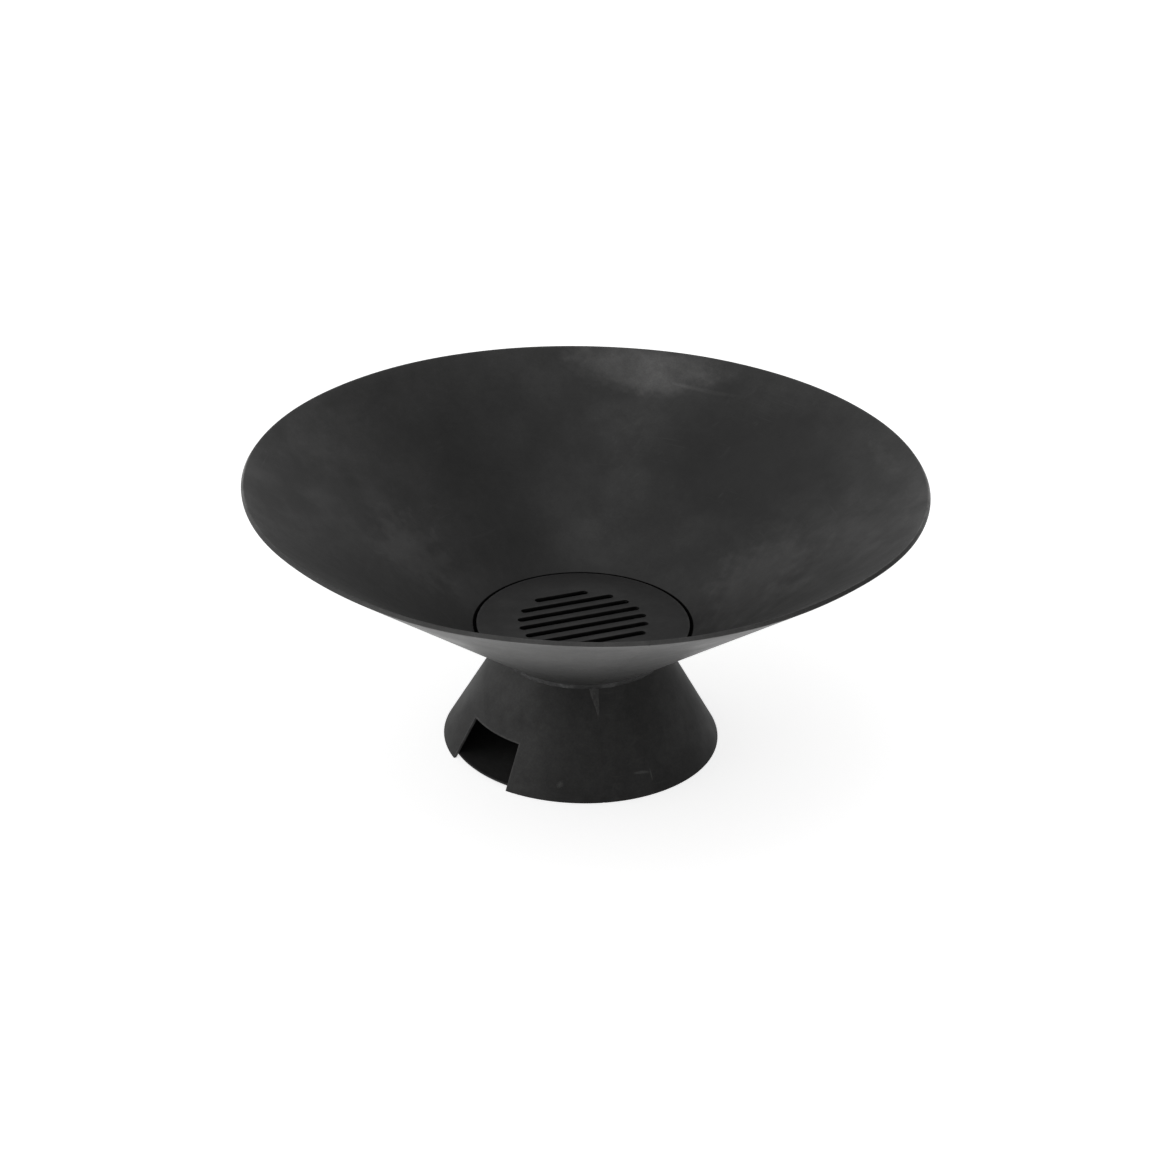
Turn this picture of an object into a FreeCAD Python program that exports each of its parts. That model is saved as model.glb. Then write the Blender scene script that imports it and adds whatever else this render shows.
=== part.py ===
"""Pedestal hearth forge: a conical steel hearth bowl welded to a conical hollow pedestal.

Millimetres, +Z up. The origin is on the ground, under the axis of both cones.
The air and ash opening in the pedestal's foot faces -Y.
An azimuth of 0 degrees points along -Y, and grows towards +X.
"""
import FreeCAD, Part
import math
import os

# ---- driving dimensions ----------------------------------------------------------
RIM_RADIUS = 400.0           # outermost edge of the bowl
WAIST_RADIUS = 100.0         # where the outer faces of the two cones meet
WAIST_HEIGHT = 120.0
FOOT_RADIUS = 168.0
BOWL_SLOPE = math.radians(36.7)
BOWL_SHEET = 5.0
PEDESTAL_SHEET = 3.0

OPENING_HEIGHT = 50.0        # air and ash opening, open at the ground
OPENING_HALF_ANGLE = 16.75

GRATE_RADIUS = 128.0
GRATE_SHEET = 4.0
GRATE_CLEARANCE = 0.3        # square to the bowl's inner face
SLOT_COUNT = 8
SLOT_PITCH = 20.0
SLOT_WIDTH = 9.5
SLOT_FIELD_RADIUS = 78.0     # the slots end on this circle
SLOT_DIRECTION = 71.0        # degrees from +X

FLOOR_SHEET = 3.0
FLOOR_RECESS = 3.0           # ground to the underside of the floor plate
FLOOR_EDGE_GAP = 0.2
TACK_COUNT = 6
TACK_ANGLE = 10.0            # degrees of arc that one tack covers
TACK_LEG = 4.5
TACK_DROP = 2.2              # how far a tack runs down the pedestal wall

SEAM_AZIMUTH = 58.0          # both cones close on this line
SEAM_GAP = 2.0
CROWN_HALF_WIDTH = 3.5       # raised inner bead of the bowl's seam
CROWN_HEIGHT = 1.0
CROWN_START_HEIGHT = 175.0   # the seam is flush below this, where the grate seats
CROWN_RIM_MARGIN = 6.0

WAIST_WELD_LEG = 4.0
WAIST_WELD_BULGE = 0.5
WEDGE_LENGTH = 28.0          # raised wedge at the top of the pedestal's seam
WEDGE_HALF_WIDTH = 6.0
WEDGE_OFFSET = -3.0          # the wide end leans off the seam line by this much
WEDGE_TIP_HALF_WIDTH = 0.8
WEDGE_HEIGHT = 1.6
WEDGE_TIP_HEIGHT = 0.3

# ---- values that follow from them ------------------------------------------------
PEDESTAL_SLOPE = math.atan2(WAIST_HEIGHT, FOOT_RADIUS - WAIST_RADIUS)
BOWL_WALL = BOWL_SHEET / math.sin(BOWL_SLOPE)              # measured level
PEDESTAL_WALL = PEDESTAL_SHEET / math.sin(PEDESTAL_SLOPE)  # measured level
RIM_OUTER_HEIGHT = WAIST_HEIGHT + (RIM_RADIUS - WAIST_RADIUS) * math.tan(BOWL_SLOPE)
RIM_TOP_RADIUS = RIM_RADIUS - BOWL_SHEET * math.sin(BOWL_SLOPE)
OVERALL_HEIGHT = RIM_OUTER_HEIGHT + BOWL_SHEET * math.cos(BOWL_SLOPE)
FAR = 2.0 * RIM_RADIUS       # longer than the object, for cutting tools

AXIS = FreeCAD.Vector(0, 0, 1)
ORIGIN = FreeCAD.Vector(0, 0, 0)


def bowl_inner_radius(height):
    """Inner radius of the bowl at a height."""
    return WAIST_RADIUS - BOWL_WALL + (height - WAIST_HEIGHT) / math.tan(BOWL_SLOPE)


def bowl_inner_height(radius):
    """Height at which the bowl's inner face has this radius."""
    return WAIST_HEIGHT + (radius - WAIST_RADIUS + BOWL_WALL) * math.tan(BOWL_SLOPE)


def pedestal_inner_radius(height):
    """Inner radius of the pedestal at a height."""
    return FOOT_RADIUS - PEDESTAL_WALL - height / math.tan(PEDESTAL_SLOPE)


def polar(radius, azimuth, height=0.0):
    """Point at a radius, azimuth in degrees and height."""
    angle = math.radians(azimuth)
    return FreeCAD.Vector(radius * math.sin(angle), -radius * math.cos(angle), height)


def point(radius, height):
    """Point of a profile, drawn in the XZ plane."""
    return FreeCAD.Vector(radius, 0, height)


def turned(edges, start=0.0, angle=360.0):
    """Solid made by turning a closed profile about the axis, from an azimuth."""
    face = Part.Face(Part.Wire(edges))
    solid = face.revolve(ORIGIN, AXIS, angle)
    solid.rotate(ORIGIN, AXIS, start - 90.0)
    return solid


def outline(points):
    """Straight edges round a closed profile."""
    return Part.makePolygon(points + points[:1]).Edges


def cleaned(shape):
    """Same shape without leftover edges, as one solid where it is one piece."""
    tidy = shape.removeSplitter()
    if len(tidy.Solids) == 1:
        return tidy.Solids[0]
    return Part.makeCompound(tidy.Solids)


def bowl_blank():
    """Closed bowl cone: level neck, rim cut square to the sheet."""
    return turned(outline([
        point(WAIST_RADIUS, WAIST_HEIGHT),
        point(RIM_RADIUS, RIM_OUTER_HEIGHT),
        point(RIM_TOP_RADIUS, OVERALL_HEIGHT),
        point(WAIST_RADIUS - BOWL_WALL, WAIST_HEIGHT),
    ]))


def pedestal_blank():
    """Closed pedestal cone, level at both ends."""
    return turned(outline([
        point(FOOT_RADIUS, 0),
        point(WAIST_RADIUS, WAIST_HEIGHT),
        point(WAIST_RADIUS - PEDESTAL_WALL, WAIST_HEIGHT),
        point(FOOT_RADIUS - PEDESTAL_WALL, 0),
    ]))


def seam_slab():
    """Thin upright slab from the axis outwards, where both rolled sheets close."""
    slab = Part.makeBox(FAR, SEAM_GAP, FAR, FreeCAD.Vector(0, -SEAM_GAP / 2, -1))
    slab.rotate(ORIGIN, AXIS, SEAM_AZIMUTH - 90.0)
    return slab


def hearth_bowl():
    """Rolled bowl, open where its seam is welded."""
    return cleaned(bowl_blank().cut(seam_slab()))


def pedestal_cone():
    """Rolled pedestal, with the air and ash opening cut up from the ground."""
    corners = [ORIGIN, polar(FAR, -OPENING_HALF_ANGLE), polar(FAR, OPENING_HALF_ANGLE)]
    sector = Part.Face(Part.makePolygon(corners + corners[:1]))
    opening = sector.extrude(FreeCAD.Vector(0, 0, OPENING_HEIGHT))
    return cleaned(pedestal_blank().cut(seam_slab()).cut(opening))


def waist_weld():
    """Fillet bead in the valley between the two cones, slightly crowned."""
    corner = point(WAIST_RADIUS, WAIST_HEIGHT)
    up = point(math.cos(BOWL_SLOPE), math.sin(BOWL_SLOPE))
    down = point(math.cos(PEDESTAL_SLOPE), -math.sin(PEDESTAL_SLOPE))
    upper_toe = corner + up * WAIST_WELD_LEG
    lower_toe = corner + down * WAIST_WELD_LEG
    outward = (up + down).normalize()
    crest = (upper_toe + lower_toe) * 0.5 + outward * WAIST_WELD_BULGE
    edges = [
        Part.LineSegment(corner, upper_toe).toShape(),
        Part.Arc(upper_toe, crest, lower_toe).toShape(),
        Part.LineSegment(lower_toe, corner).toShape(),
    ]
    return turned(edges)


def lens(centre, along, across, half_width, height):
    """Closed oval wire, square to the line of a weld."""
    rise = along.cross(across).normalize() * height
    side = across * half_width
    over = Part.Arc(centre - side, centre + rise, centre + side).toShape()
    under = Part.Arc(centre + side, centre - rise, centre - side).toShape()
    return Part.Wire([over, under])


def bowl_seam_weld():
    """Butt weld of the bowl: flush outside, a raised bead inside above the grate."""
    fill = bowl_blank().common(seam_slab())
    across = polar(1.0, SEAM_AZIMUTH + 90.0)
    end_height = OVERALL_HEIGHT - CROWN_RIM_MARGIN
    start = polar(bowl_inner_radius(CROWN_START_HEIGHT), SEAM_AZIMUTH, CROWN_START_HEIGHT)
    end = polar(bowl_inner_radius(end_height), SEAM_AZIMUTH, end_height)
    along = (end - start).normalize()
    section = lens(start, along, across, CROWN_HALF_WIDTH, CROWN_HEIGHT)
    crown = Part.Face(section).extrude(end - start).cut(bowl_blank())
    raised = max(crown.Solids, key=lambda solid: solid.CenterOfMass.z)
    return cleaned(fill.fuse(raised))


def pedestal_seam_weld():
    """Butt weld of the pedestal: flush, with a raised wedge tapering down from the waist."""
    fill = pedestal_blank().common(seam_slab())
    across = polar(1.0, SEAM_AZIMUTH + 90.0)
    top = polar(WAIST_RADIUS, SEAM_AZIMUTH, WAIST_HEIGHT)
    foot = polar(FOOT_RADIUS, SEAM_AZIMUTH, 0)
    along = (foot - top).normalize()
    tip = top + along * (WAIST_WELD_LEG + WEDGE_LENGTH)
    shifted = top + across * WEDGE_OFFSET
    wide = lens(shifted, along, across, WEDGE_HALF_WIDTH, WEDGE_HEIGHT)
    narrow = lens(tip, along, across, WEDGE_TIP_HALF_WIDTH, WEDGE_TIP_HEIGHT)
    wedge = Part.makeLoft([wide, narrow], True)
    inside = Part.makeCone(FOOT_RADIUS, WAIST_RADIUS, WAIST_HEIGHT)
    above = bowl_blank().fuse(waist_weld())
    raised = max(wedge.cut(inside).cut(above).Solids, key=lambda solid: solid.Volume)
    return cleaned(fill.fuse(raised))


def obround(length, width, height):
    """Round-ended bar, centred on the origin, along X."""
    half = (length - width) / 2
    radius = width / 2
    corner = FreeCAD.Vector(half, radius, 0)
    mirror = FreeCAD.Vector(-half, radius, 0)
    edges = [
        Part.LineSegment(-mirror, -corner).toShape(),
        Part.Arc(-corner, FreeCAD.Vector(-half - radius, 0, 0), mirror).toShape(),
        Part.LineSegment(mirror, corner).toShape(),
        Part.Arc(corner, FreeCAD.Vector(half + radius, 0, 0), -mirror).toShape(),
    ]
    return Part.Face(Part.Wire(edges)).extrude(FreeCAD.Vector(0, 0, height))


def grate_plate():
    """Loose round plate with a field of parallel slots, lying by its lower edge."""
    contact_radius = GRATE_RADIUS + GRATE_CLEARANCE / math.sin(BOWL_SLOPE)
    height = bowl_inner_height(contact_radius)
    plate = Part.makeCylinder(GRATE_RADIUS, GRATE_SHEET)
    for index in range(SLOT_COUNT):
        offset = (index - (SLOT_COUNT - 1) / 2) * SLOT_PITCH
        length = 2 * math.sqrt(SLOT_FIELD_RADIUS ** 2 - offset ** 2)
        slot = obround(length, SLOT_WIDTH, 3 * GRATE_SHEET)
        slot.translate(FreeCAD.Vector(0, offset, -GRATE_SHEET))
        plate = plate.cut(slot)
    plate.rotate(ORIGIN, AXIS, SLOT_DIRECTION)
    plate.translate(FreeCAD.Vector(0, 0, height))
    return cleaned(plate)


def floor_plate_radius():
    """The plate's upper edge almost meets the pedestal's inner face."""
    return pedestal_inner_radius(FLOOR_RECESS + FLOOR_SHEET) - FLOOR_EDGE_GAP


def floor_plate():
    """Round ash floor, set up inside the foot of the pedestal."""
    plate = Part.makeCylinder(floor_plate_radius(), FLOOR_SHEET)
    plate.translate(FreeCAD.Vector(0, 0, FLOOR_RECESS))
    return plate


def floor_tack_welds():
    """Short fillet tacks under the floor plate, clear of the opening and the seam."""
    low = FLOOR_RECESS - TACK_DROP
    profile = outline([
        point(pedestal_inner_radius(FLOOR_RECESS) - TACK_LEG, FLOOR_RECESS),
        point(pedestal_inner_radius(FLOOR_RECESS), FLOOR_RECESS),
        point(pedestal_inner_radius(low), low),
    ])
    step = 360.0 / TACK_COUNT
    starts = [(index + 0.5) * step - TACK_ANGLE / 2 for index in range(TACK_COUNT)]
    return Part.makeCompound([turned(profile, start, TACK_ANGLE) for start in starts])


NODES = {
    "hearth_bowl": hearth_bowl,
    "bowl_seam_weld": bowl_seam_weld,
    "pedestal_cone": pedestal_cone,
    "pedestal_seam_weld": pedestal_seam_weld,
    "waist_weld": waist_weld,
    "grate_plate": grate_plate,
    "floor_plate": floor_plate,
    "floor_tack_welds": floor_tack_welds,
}

os.makedirs("parts", exist_ok=True)
for name, build in NODES.items():
    shape = build()
    box = shape.BoundBox
    print(
        f"{name}: solids {len(shape.Solids)}, valid {shape.isValid()},"
        f" volume {shape.Volume:.0f}, z {box.ZMin:.2f} to {box.ZMax:.2f}"
    )
    shape.exportStep(f"parts/{name}.step")
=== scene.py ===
"""Looks of the pedestal hearth forge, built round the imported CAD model. Metres, +Z up."""
import math

import bmesh
import bpy
import numpy as np
from mathutils import Matrix, Vector


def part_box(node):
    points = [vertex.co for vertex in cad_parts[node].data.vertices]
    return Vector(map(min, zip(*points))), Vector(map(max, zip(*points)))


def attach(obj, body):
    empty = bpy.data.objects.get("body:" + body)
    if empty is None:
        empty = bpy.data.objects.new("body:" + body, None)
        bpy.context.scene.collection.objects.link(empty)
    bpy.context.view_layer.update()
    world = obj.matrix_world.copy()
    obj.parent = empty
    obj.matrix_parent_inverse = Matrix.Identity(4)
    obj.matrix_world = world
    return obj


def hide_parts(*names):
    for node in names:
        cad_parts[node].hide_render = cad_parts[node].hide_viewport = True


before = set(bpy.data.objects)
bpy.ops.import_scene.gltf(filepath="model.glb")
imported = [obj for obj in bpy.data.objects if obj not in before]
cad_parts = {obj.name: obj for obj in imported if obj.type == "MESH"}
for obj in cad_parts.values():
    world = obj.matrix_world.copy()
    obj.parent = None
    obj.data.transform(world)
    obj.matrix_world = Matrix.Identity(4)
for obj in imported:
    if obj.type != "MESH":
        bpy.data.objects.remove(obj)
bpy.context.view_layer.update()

# ---- sizes that the CAD model sets -------------------------------------------------
BOWL_LOW, BOWL_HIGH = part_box("hearth_bowl")
PEDESTAL_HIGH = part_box("pedestal_cone")[1]
GRATE_LOW, GRATE_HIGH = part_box("grate_plate")
FLOOR_LOW, FLOOR_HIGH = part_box("floor_plate")

RIM_RADIUS = BOWL_HIGH.x
RIM_HEIGHT = BOWL_HIGH.z
WAIST_HEIGHT = BOWL_LOW.z
FOOT_RADIUS = PEDESTAL_HIGH.x
GRATE_RADIUS = GRATE_HIGH.x
FLOOR_RADIUS = FLOOR_HIGH.x

WAIST_RADIUS = 0.100
BOWL_SHEET = 0.005
PEDESTAL_SHEET = 0.003
BOWL_SLOPE = math.radians(36.7)
PEDESTAL_SLOPE = math.atan2(WAIST_HEIGHT, FOOT_RADIUS - WAIST_RADIUS)
BOWL_WALL = BOWL_SHEET / math.sin(BOWL_SLOPE)
PEDESTAL_WALL = PEDESTAL_SHEET / math.sin(PEDESTAL_SLOPE)

OPENING_TOP = 0.050
OPENING_HALF_ANGLE = 16.75   # degrees each side of -Y

SLOT_COUNT = 8
SLOT_PITCH = 0.020
SLOT_WIDTH = 0.0095
SLOT_FIELD_RADIUS = 0.078
SLOT_DIRECTION = 71.0        # degrees from +X

TACK_COUNT = 6
TACK_ANGLE = 10.0            # degrees round the foot that one tack takes
TACK_LEG = 0.0045            # reach inwards under the floor plate
TACK_DROP = 0.0022           # reach down the pedestal's wall

SEAM_AZIMUTH = 58.0
SEAM_HALF_GAP = 0.001
WELD_LEG = 0.004

# ---- looks: sizes of what the CAD model leaves plain ---------------------------------
EDGE_ROUND = 0.0006          # broken edge of the cut sheets
SEAM_SAG = 0.0056            # how far the rim is let down beside the bowl's seam
SEAM_SAG_INNER = 14.0        # degrees each side of the middle: full sag, then none
SEAM_SAG_OUTER = 52.0
SEAM_SAG_MIDDLE = 45.0
OVAL_SAG = 0.0008            # the rolled rim is also a little oval
FINE_SAG = 0.0003            # and wavers a little all round
RIM_TRIM = 0.0009            # keeps the uneven rim inside the true one
FOOT_WAVE = 0.00025          # how far the pedestal's foot wavers in and out
FOOT_TRIM = 0.0002           # keeps the uneven foot inside the true one
CUT_FACE_RADIUS = RIM_RADIUS - RIM_TRIM - BOWL_SHEET * math.sin(BOWL_SLOPE)

RIPPLE_PITCH = 0.0024        # spacing of the weld ripples
RIPPLE_DEPTH = 0.00022
BEAD_STARTS = ((38.4, 5.0), (66.6, 5.0), (190.0, 4.0), (301.0, 4.5))   # azimuth, reach
DRESSED_CAP = (0.0018, 0.0001)   # half width and height of a seam that is ground flush
WEDGE_LENGTH = 0.0355        # the raised end of the pedestal's seam, down its slope
WEDGE_BRIGHT = (0.086, 0.093)    # heights where it starts to shine and shines fully
BOWL_BEAD_HEIGHT = 0.175     # where the raised part of the bowl's seam starts
BOWL_BEAD_STOP = 0.008       # and how far from the rim it ends, down the slope

SOOT_AND_SHADE_LEVEL = 0.003           # how light thick soot is, and the painted shade in the gap round the grate
MARK_GRAIN = 2.6             # how fine the lumps in a mark's ragged edge are, for its size
MARK_EDGE = (1.15, 0.45)     # where a mark starts and is full, as shares of its reach
FAR = 1000.0                 # a mark's reach up and down, past everything

# how light and how rough each sheet is; its seam's weld is dressed to look the same
BOWL_LOOK = {"level": 0.022, "roughness": 0.46}
PEDESTAL_LOOK = {"level": 0.026, "roughness": 0.62, "specular": 0.22, "scuffs": 0.5}

# ---- marks on the steel, in plan: azimuth and radius of the middle, lean in degrees, reach
# ---- round the axis and outwards, raggedness, and how many times lighter the steel is there
# painted light: the rim's cut face is made lighter in a wide blot at the front
PAINTED_LIGHT_FRONT_LIP = (48.0, 0.40, 0.0, 0.34, 0.34, 0.2)
BOWL_MARKS = {
    "rim_rub": (216.0, 0.3725, 0.0, 0.110, 0.031, 0.4, 3.3),
    "rim_scratch": (203.0, 0.3570, 0.0, 0.050, 0.003, 0.3, 1.5),
    "rake_streak": (215.5, 0.275, 0.0, 0.040, 0.15, 0.3, 1.2),
    # the next five are painted shade (the darker ones) and painted light (the lighter ones)
    "painted_shade_left_back": (258.0, 0.27, 0.0, 0.09, 0.09, 0.5, 0.85),
    "painted_shade_right_back": (180.0, 0.29, 0.0, 0.16, 0.10, 0.4, 0.42),
    "painted_shade_right_rim": (151.0, 0.34, 0.0, 0.09, 0.06, 0.5, 0.72),
    "painted_light_left": (304.0, 0.22, 0.0, 0.17, 0.12, 0.5, 1.3),
    "painted_light_left_rim": (292.0, 0.350, 0.0, 0.07, 0.05, 0.9, 1.25),
    "smudge_left_low": (304.0, 0.215, 10.0, 0.06, 0.045, 1.3, 1.6),
    "ash_right_low": (137.0, 0.205, 0.0, 0.10, 0.07, 1.0, 1.9),
    "ash_right": (127.0, 0.285, -20.0, 0.11, 0.06, 1.4, 1.5),
    "scuff_right": (153.0, 0.371, 0.0, 0.06, 0.008, 0.9, 1.4),
    "scuff_far_right": (128.0, 0.372, 0.0, 0.03, 0.006, 0.9, 1.4),
    "spot": (224.0, 0.186, 30.0, 0.034, 0.017, 0.7, 1.3),
    # the next two are painted shade at the sides of the rim
    "painted_shade_right_rim_band": (140.0, 0.365, 0.0, 0.12, 0.05, 0.5, 0.84),
    "painted_shade_left_rim_band": (316.0, 0.365, 0.0, 0.12, 0.05, 0.5, 0.87),
}
OUTSIDE_MARKS = {
    # painted shade on the outside's right and painted light on its left
    "painted_shade_right": (67.0, 0.28, 0.0, 0.07, 0.12, 0.3, 0.68),
    "painted_light_outside_left": (17.0, 0.28, 0.0, 0.06, 0.10, 0.3, 1.25),
}
PEDESTAL_MARKS = {
    "hook_shank": (76.2, 0.1536, -4.0, 0.0115, 0.0010, 0.12, 2.1),
    "hook_tip": (80.5, 0.1562, 0.0, 0.0011, 0.0042, 0.12, 1.9),
    "speck": (39.8, 0.1573, 20.0, 0.0040, 0.0022, 1.2, 2.0),
    # the next two are painted light on the pedestal's left and painted shade on its right
    "painted_light_left": (4.0, 0.138, 0.0, 0.090, 0.08, 0.3, 1.5),
    "painted_shade_right": (135.0, 0.145, 0.0, 0.06, 0.06, 0.3, 0.65),
}
GRATE_MARKS = {
    # painted shade on the grate's right
    "painted_shade_right": (150.0, 0.10, 0.0, 0.03, 0.02, 0.6, 0.85),
}
BEAD_MARKS = {
    # painted highlight on the bead's lit left side
    "painted_highlight_left": (18.0, 0.103, 0.0, 0.040, 0.014, 0.9, 2.4),
}

# ---- camera, from a perspective fit to the object ------------------------------------
CAMERA_AZIMUTH = 48.2
CAMERA_REACH = 2.7176        # level distance from the object's axis
CAMERA_HEIGHT = 1.6033
CAMERA_PITCH = 27.34
CAMERA_YAW = 0.08
CAMERA_ROLL = 1.19
CAMERA_LENS = 78.835


def direction(azimuth):
    """Level unit vector at an azimuth in degrees: 0 is -Y, 90 is +X."""
    angle = math.radians(azimuth)
    return Vector((math.sin(angle), -math.cos(angle), 0.0))


def polar(radius, azimuth, height):
    """Point at a radius, azimuth in degrees and height."""
    return direction(azimuth) * radius + Vector((0.0, 0.0, height))


def smooth_step(low, high, value):
    """0 below low, 1 above high, smooth between them."""
    share = min(max((value - low) / (high - low), 0.0), 1.0)
    return share * share * (3.0 - 2.0 * share)


def turn_from(start, azimuth):
    """Degrees from one azimuth to another, -180 to 180."""
    return (azimuth - start + 180.0) % 360.0 - 180.0


def waves(seed, count, first):
    """Smooth closed curve round the axis, about -1 to 1, as a function of azimuth in degrees.

    It adds up count sine waves; the longest repeats first times round the axis.
    """
    random = np.random.default_rng(seed)
    orders = np.arange(first, first + count)
    sizes = random.uniform(0.4, 1.0, count) / np.sqrt(orders)
    phases = random.uniform(0.0, 2 * math.pi, count)
    total = np.sqrt((sizes ** 2).sum())

    def curve(azimuth):
        angles = orders * math.radians(azimuth) + phases
        return float((sizes * np.cos(angles)).sum() / total)

    return curve


# ---- mesh building -------------------------------------------------------------------
def finished(name, mesh_data, node, body, material, sharp=35.0):
    """Object from a bmesh, standing for a CAD node."""
    mesh = bpy.data.meshes.new(name)
    bmesh.ops.recalc_face_normals(mesh_data, faces=mesh_data.faces)
    mesh_data.to_mesh(mesh)
    mesh_data.free()
    mesh.polygons.foreach_set("use_smooth", [True] * len(mesh.polygons))
    mesh.set_sharp_from_angle(angle=math.radians(sharp))
    piece = bpy.data.objects.new(name, mesh)
    bpy.context.scene.collection.objects.link(piece)
    mesh.materials.append(material)
    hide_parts(node)
    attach(piece, body)
    return piece


def join_loops(made, one, other):
    """Band of faces between two closed loops of vertices."""
    for index in range(len(one)):
        after = (index + 1) % len(one)
        made.faces.new((one[index], one[after], other[after], other[index]))


def add_tube(made, rows, closed=False):
    """Adds a tube from rows of points, each a closed loop; its ends are capped or joined."""
    loops = [[made.verts.new(point) for point in row] for row in rows]
    for one, other in zip(loops[:-1], loops[1:]):
        join_loops(made, one, other)
    if closed:
        join_loops(made, loops[-1], loops[0])
    else:
        made.faces.new(loops[0])
        made.faces.new(loops[-1])
    return made


def rounded_corner(before, corner, after, radius, steps=3):
    """Points of an arc that rounds off a corner of a profile."""
    back = (before - corner).normalized()
    ahead = (after - corner).normalized()
    half = back.angle(ahead) / 2
    reach = radius / math.tan(half)
    centre = corner + (back + ahead).normalized() * (radius / math.sin(half))
    start = corner + back * reach - centre
    end = corner + ahead * reach - centre
    turn = start.angle(end)
    points = []
    for step in range(steps + 1):
        share = step / steps
        weight = math.sin(turn)
        mixed = start * (math.sin((1 - share) * turn) / weight)
        mixed += end * (math.sin(share * turn) / weight)
        points.append(centre + mixed)
    return points


def points_between(start, end, count):
    """Points strictly between two points, evenly spaced."""
    return [start.lerp(end, (index + 1) / (count + 1)) for index in range(count)]


def bowl_profile():
    """Closed profile of the bowl's sheet in (radius, height), edges broken."""
    rim_outer_height = WAIST_HEIGHT + (RIM_RADIUS - WAIST_RADIUS) * math.tan(BOWL_SLOPE)
    corners = [
        Vector((WAIST_RADIUS, WAIST_HEIGHT)),
        Vector((RIM_RADIUS, rim_outer_height)),
        Vector((RIM_RADIUS - BOWL_SHEET * math.sin(BOWL_SLOPE), RIM_HEIGHT)),
        Vector((WAIST_RADIUS - BOWL_WALL, WAIST_HEIGHT)),
    ]
    points_up = 26
    profile = []
    for index, corner in enumerate(corners):
        before, after = corners[index - 1], corners[(index + 1) % 4]
        profile += rounded_corner(before, corner, after, EDGE_ROUND)
        if index in (0, 2):
            far = rounded_corner(corner, after, corners[(index + 2) % 4], EDGE_ROUND)[0]
            profile += points_between(profile[-1], far, points_up)
    return profile


def bowl_wave():
    """How far the rolled bowl stands in from a true cone, in metres, by azimuth and radius."""
    fine = waves(12, 9, first=5)

    def wave(azimuth, radius):
        away = turn_from(SEAM_SAG_MIDDLE, azimuth)
        sag = SEAM_SAG * (1.0 - smooth_step(SEAM_SAG_INNER, SEAM_SAG_OUTER, abs(away)))
        sag += OVAL_SAG * (1.0 + math.cos(math.radians(2 * away)))
        sag += FINE_SAG * (1.0 + fine(azimuth))
        return -sag * (radius - WAIST_RADIUS) / (RIM_RADIUS - WAIST_RADIUS)

    return wave


def drawn_in(radius):
    """How far a point of the bowl is moved in, so that its rim stays inside the true one."""
    return RIM_TRIM * (radius - WAIST_RADIUS) / (RIM_RADIUS - WAIST_RADIUS)


def build_bowl(material):
    """The rolled bowl sheet, open at its seam by the weld's gap."""
    profile = bowl_profile()
    wave = bowl_wave()
    outward = Vector((-math.sin(BOWL_SLOPE), math.cos(BOWL_SLOPE)))
    count = 720
    rows = []
    for step in range(count + 1):
        row = []
        for point in profile:
            edge = math.degrees(math.asin(SEAM_HALF_GAP / point.x))
            azimuth = SEAM_AZIMUTH + edge + (360.0 - 2 * edge) * step / count
            moved = point + outward * wave(azimuth, point.x)
            row.append(polar(moved.x - drawn_in(point.x), azimuth, moved.y))
        rows.append(row)
    made = add_tube(bmesh.new(), rows)
    return finished("bowl_sheet", made, "hearth_bowl", "hearth", material)


def sheet_patch(azimuths, stations, outer, inner, present):
    """bmesh of a bent sheet with parts cut away.

    outer and inner give a point for an azimuth and a station; present says whether
    the cell after azimuth i and station j is there.
    """
    made = bmesh.new()
    shells = []
    for side in (outer, inner):
        shells.append([[side(a, s) for s in stations] for a in azimuths])
    corners = {}

    def vertex(side, i, j):
        if (side, i, j) not in corners:
            corners[side, i, j] = made.verts.new(shells[side][i][j])
        return corners[side, i, j]

    def there(i, j):
        inside = 0 <= i < len(azimuths) - 1 and 0 <= j < len(stations) - 1
        return inside and present(i, j)

    for i in range(len(azimuths) - 1):
        for j in range(len(stations) - 1):
            if not there(i, j):
                continue
            ring = [(i, j), (i + 1, j), (i + 1, j + 1), (i, j + 1)]
            for side in (0, 1):
                made.faces.new([vertex(side, *place) for place in ring])
            beyond = [(i, j - 1), (i + 1, j), (i, j + 1), (i - 1, j)]
            for index, cell in enumerate(beyond):
                if not there(*cell):
                    one, two = ring[index], ring[(index + 1) % 4]
                    made.faces.new(
                        (vertex(0, *one), vertex(0, *two), vertex(1, *two), vertex(1, *one))
                    )
    return made


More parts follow.
